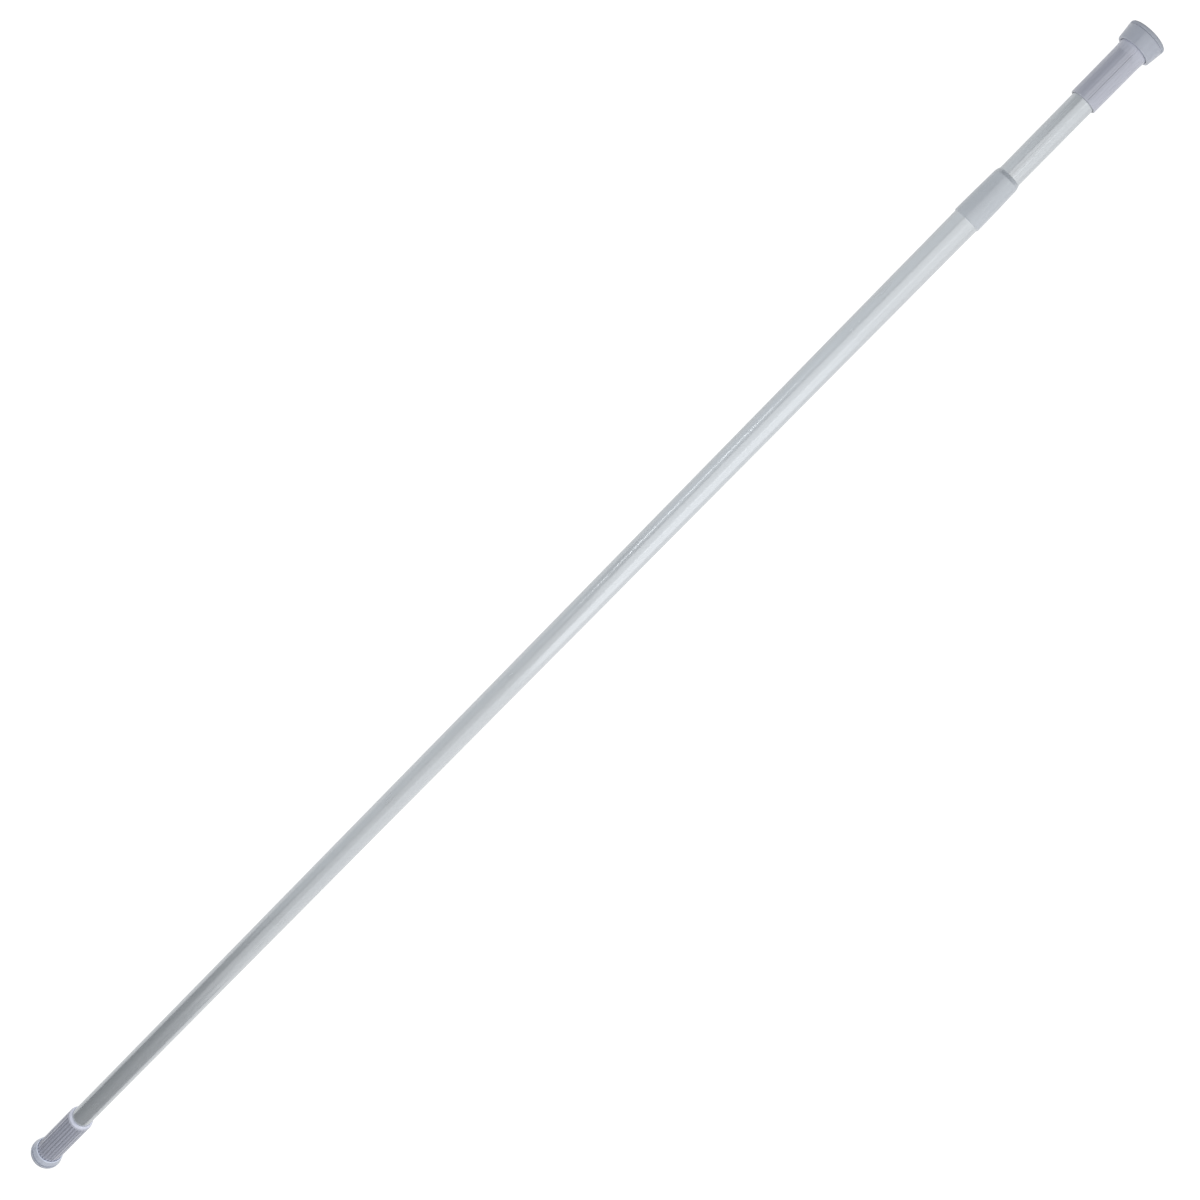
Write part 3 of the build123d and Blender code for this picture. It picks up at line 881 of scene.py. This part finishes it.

# %% [markdown]
# The spring is the one hidden piece that changes its shape: pressing the outer cap in shortens
# it. It is swept again here, a circle of wire carried along a helix. What it keeps of its length
# is one less the stroke's share of it; the cell works this share out but does not squash the
# spring with it.


# %% Spring
def helix(name, start, end, coil_radius, wire, turns):
    """Coil spring along X: a circle of wire round c(t) = (x, R cos t, R sin t), closed by poles.

    The circle lies across the wire: one axis points away from X, the other is tangent x outward.
    wire is the radius of the wire, and coil_radius runs to the wire's middle.
    """
    steps, sides = 28, 10
    t = np.linspace(0, 2 * math.pi * turns, turns * steps + 1)
    rise = (end - start - 2 * wire) / t[-1]
    outward = np.stack((0 * t, np.cos(t), np.sin(t)), axis=1)
    round_about = np.stack((0 * t, -np.sin(t), np.cos(t)), axis=1)
    middle = outward * coil_radius + np.outer(start + wire + rise * t, (1, 0, 0))
    tangent = round_about * coil_radius + np.array((rise, 0, 0))
    tangent /= np.linalg.norm(tangent, axis=1, keepdims=True)
    sideways = np.cross(tangent, outward)
    turn = np.linspace(0, 2 * math.pi, sides, endpoint=False)[None, :, None]
    section = np.cos(turn) * outward[:, None] + np.sin(turn) * sideways[:, None]
    points = (middle[:, None] + wire * section).reshape(-1, 3)
    index = np.arange(len(points)).reshape(-1, sides)
    after = np.roll(index, -1, axis=1)
    quads = np.stack((index[:-1], after[:-1], after[1:], index[1:]), axis=-1).reshape(-1, 4)
    first, last = len(points), len(points) + 1
    first_fan = np.stack((np.full(sides, first), after[0], index[0]), axis=-1)
    last_fan = np.stack((index[-1], after[-1], np.full(sides, last)), axis=-1)
    points = np.concatenate((points, middle[[0, -1]]))
    return add_mesh(name, points, quads.tolist() + first_fan.tolist() + last_fan.tolist())


spring_start, spring_end, spring_radius = span("cap_spring")
spring_wire = 0.9 * MM
spring_turns = 11
spring = helix(
    "cap_spring_coil",
    spring_start,
    spring_end,
    spring_radius - spring_wire,
    spring_wire,
    spring_turns,
)
dress(spring, spring_steel, "outer_tube", "spring_steel", "cap_spring")
joints = {joint["name"]: joint for joint in frame["record"]["behaviour"]["joints"]}
cap_stroke = joints["cap_press"]["range_m"][1]
1 - cap_stroke / (spring_end - spring_start)
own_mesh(spring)

# %% [markdown]
# ## Floor, light and camera
# The rod lies on a pale, softly glowing floor, the kind of light table that catalogue pictures
# are taken on. The camera sees it almost white, but the rod gets less from it, just enough to
# light both flanks of the tubes from below. Seven soft boxes hang round the rod: two overhead,
# three in front and two slightly cooler ones behind. Those at the outer end are weaker, so that
# this end falls off into grey. One thin strip behind draws the highlight line in the clear coat.
# The world is bright to the camera alone, so that a low view has no dark sky behind the floor.

# %% Floor
floor_gap = 0.2 * MM
floor_half = 6.0
floor_height = cad_box[0][2] - floor_gap
floor_mesh = bpy.data.meshes.new("floor")
floor_corners = [
    (rod_length / 2 + dx * floor_half, dy * floor_half, floor_height)
    for dx, dy in ((-1, -1), (1, -1), (1, 1), (-1, 1))
]
floor_mesh.from_pydata(floor_corners, [], [(0, 1, 2, 3)])
floor = bpy.data.objects.new("floor", floor_mesh)
bpy.context.scene.collection.objects.link(floor)
glow_on_rod, glow_to_camera = 0.60, 0.97
cloud_tones = 0.20, 0.22
neutral = (1.0, 1.0, 1.0)
floor_finish = Finish("pale_floor", Emission_Strength=1.0)
seen = floor_finish.node("ShaderNodeLightPath", {}, out="Is Camera Ray")
glow = floor_finish.mix(seen, scaled(neutral, glow_on_rod), scaled(neutral, glow_to_camera))
floor_finish.feed("Emission Color", glow)
cloud = floor_finish.noise(1.5, detail=2.0)
cloud_tints = [scaled(neutral, tone) for tone in cloud_tones]
floor_finish.feed("Base Color", floor_finish.mix(cloud, *cloud_tints))
floor_finish.feed("Roughness", (0.75 + 0.1 * cloud).clamp())
floor_mesh.materials.append(floor_finish.material)


# %% Lights
def area_light(name, place, target, size, power, colour):
    """Rectangular light of size (along the rod, across it) at place, looking at target."""
    light = bpy.data.lights.new(name, "AREA")
    light.shape = "RECTANGLE"
    light.size, light.size_y = size
    light.energy = power
    light.color = colour
    lamp = bpy.data.objects.new(name, light)
    back = (Vector(place) - Vector(target)).normalized()
    along = Vector((1, 0, 0))
    side = (along - back * along.dot(back)).normalized()
    up = back.cross(side)
    lamp.matrix_world = Matrix.Translation(place) @ Matrix((side, up, back)).transposed().to_4x4()
    bpy.context.scene.collection.objects.link(lamp)


def around(x, degrees, distance):
    """Point at this angle from straight up, towards the front, about the rod's axis."""
    turn = math.radians(degrees)
    return Vector((x, -distance * math.sin(turn), distance * math.cos(turn)))


cool = (0.94, 0.97, 1.0)
# name: (x as a share of the rod, degrees to the front, distance), (length, width), watts, colour
studio = {
    "top_start_box": ((-0.15, 5, 1.25), (1.35, 1.38), 3.5, neutral),
    "top_end_box": ((0.77, 5, 1.25), (1.35, 1.38), 6.5, neutral),
    "front_start_box": ((0.0, 60, 0.8), (0.9, 0.9), 2.0, neutral),
    "front_middle_box": ((0.55, 60, 0.8), (0.7, 0.9), 2.8, neutral),
    "front_end_box": ((1.05, 60, 0.8), (0.8, 0.9), 2.4, neutral),
    "back_start_box": ((0.1, -62, 0.9), (1.0, 1.2), 2.2, cool),
    "back_end_box": ((0.78, -62, 0.9), (0.9, 1.2), 2.8, cool),
    "back_strip": ((0.47, -53, 1.5), (0.6, 0.05), 0.6, neutral),
}
for name, ((share, degrees, distance), size, power, colour) in studio.items():
    middle = share * rod_length
    area_light(name, around(middle, degrees, distance), (middle, 0, 0), size, power, colour)
print("lights", list(studio))

# %% World
sky_on_rod, sky_to_camera = 0.01, 1.0
world = bpy.data.worlds.new("studio")
world.use_nodes = True
bpy.context.scene.world = world
background = world.node_tree.nodes["Background"]
background.inputs["Color"].default_value = (0.93, 0.96, 1.0, 1.0)
seen = world.node_tree.nodes.new("ShaderNodeLightPath").outputs["Is Camera Ray"]
strength = world.node_tree.nodes.new("ShaderNodeMapRange")
strength.inputs["To Min"].default_value = sky_on_rod
strength.inputs["To Max"].default_value = sky_to_camera
world.node_tree.links.new(seen, strength.inputs["Value"])
world.node_tree.links.new(strength.outputs["Result"], background.inputs["Strength"])

# %% [markdown]
# The camera looks down on the rod from above its inner half, and is rolled so that the rod runs
# from the lower left to the upper right. It is placed by five numbers: where its axis comes to
# the rod, how far away that is, how far beside the rod the axis passes, how far the view leans
# from square, and the slope of the rod in the picture.

# %% Camera
aim_share = 0.6069
aim_distance = 1.021
lean = math.radians(18.3)
slope = math.radians(45.31)
side_step = 4.92 * MM
along_view = Vector((math.cos(lean), 0, -math.sin(lean)))
forward = Vector((-math.sin(lean), 0, -math.cos(lean)))
across_view = forward.cross(along_view)
right = along_view * math.cos(slope) + across_view * math.sin(slope)
upward = along_view * math.sin(slope) - across_view * math.cos(slope)
camera_data = bpy.data.cameras.new("camera")
camera_data.lens = 36.06
camera_data.sensor_width = 36.0
camera = bpy.data.objects.new("camera", camera_data)
aim = Vector((aim_share * rod_length, 0, 0)) + across_view * side_step
camera_place = aim - forward * aim_distance
camera.matrix_world = (
    Matrix.Translation(camera_place) @ Matrix((right, upward, -forward)).transposed().to_4x4()
)
bpy.context.scene.collection.objects.link(camera)
bpy.context.scene.camera = camera
bpy.context.scene.view_settings.view_transform = "Standard"
print("camera at", [round(value, 3) for value in camera_place])
